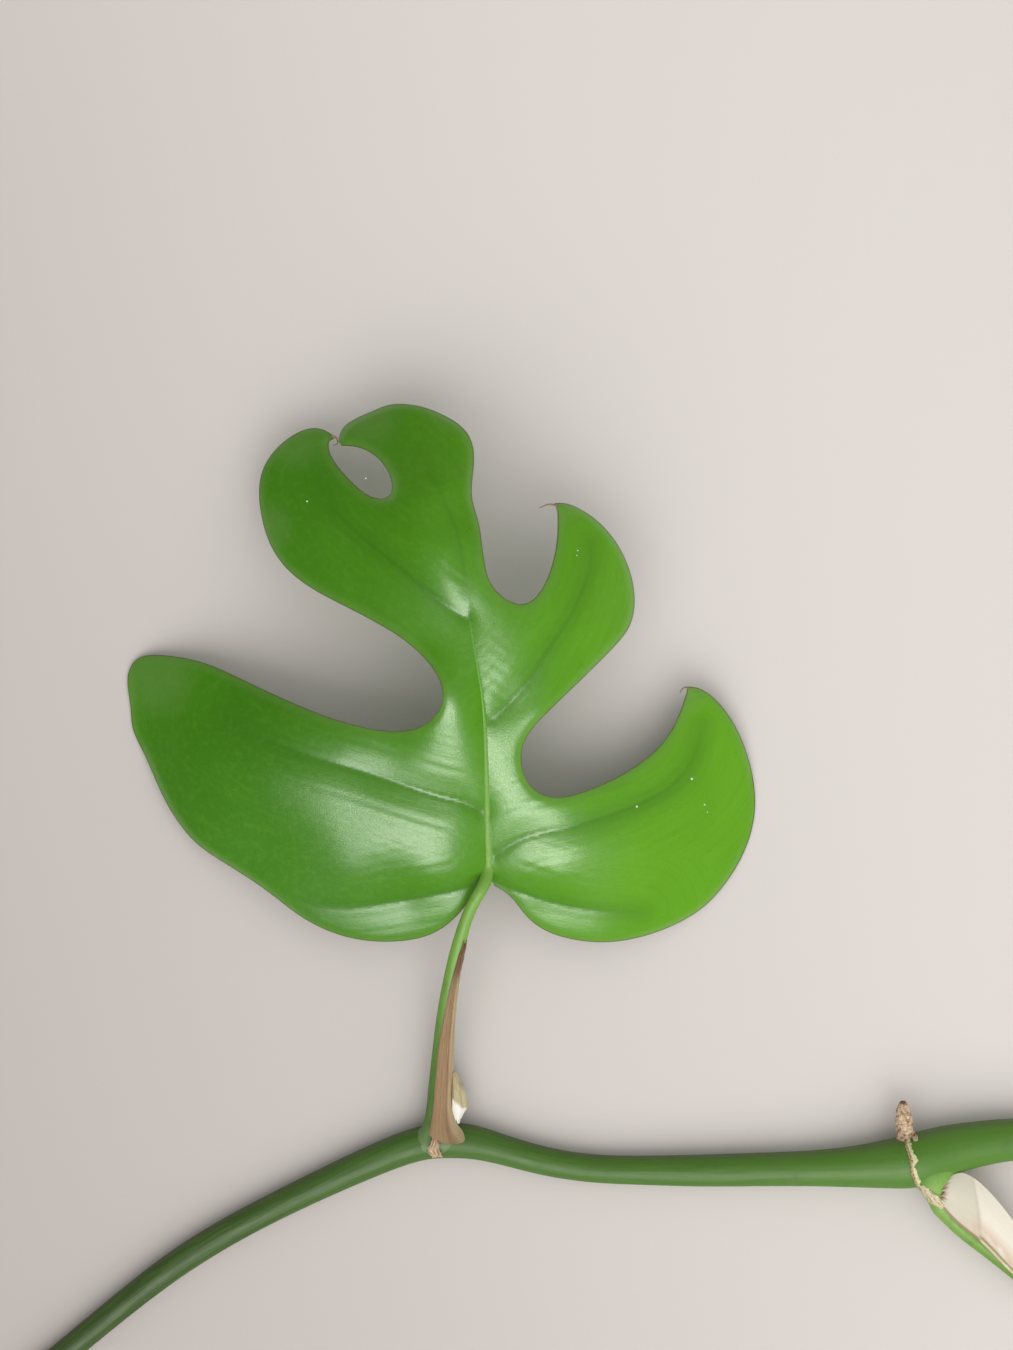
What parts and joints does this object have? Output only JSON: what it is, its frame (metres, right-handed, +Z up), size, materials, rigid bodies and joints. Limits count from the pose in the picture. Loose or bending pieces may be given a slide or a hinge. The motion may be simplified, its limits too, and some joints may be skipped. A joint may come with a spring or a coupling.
{
  "type": "vine cutting with a split leaf",
  "caption": "Cut length of green vine stem lying flat, with a glossy split leaf on its stalk, dried papery sheaths, an aerial root stub and the cut stalk of the next leaf.",
  "frame": {"origin": "middle of the box round the cutting, on the surface that it lies on", "axes": "+X along the vine, from the thin cut end towards the second node; +Y from the vine towards the end of the leaf; +Z up from the surface"},
  "size_m": [0.2449, 0.228, 0.0343],
  "materials": {
    "stem_green": "satin living stem",
    "leaf_green": "semi-gloss living leaf",
    "dried_brown": "dry and fibrous",
    "papery_cream": "dry and papery",
    "root_tan": "dry and wrinkled",
    "collar_tan": "dry and ragged",
    "stalk_green": "satin living stalk",
    "pale_sheath": "thin and papery"
  },
  "bodies": {
    "root": {"stem": "stem_green", "leaf": "leaf_green", "leaf_sheath": "dried_brown", "axil_scale": "papery_cream", "aerial_root": "root_tan", "node_collar": "collar_tan", "second_stalk": "stalk_green", "second_sheath": "pale_sheath"}
  },
  "joints": []
}
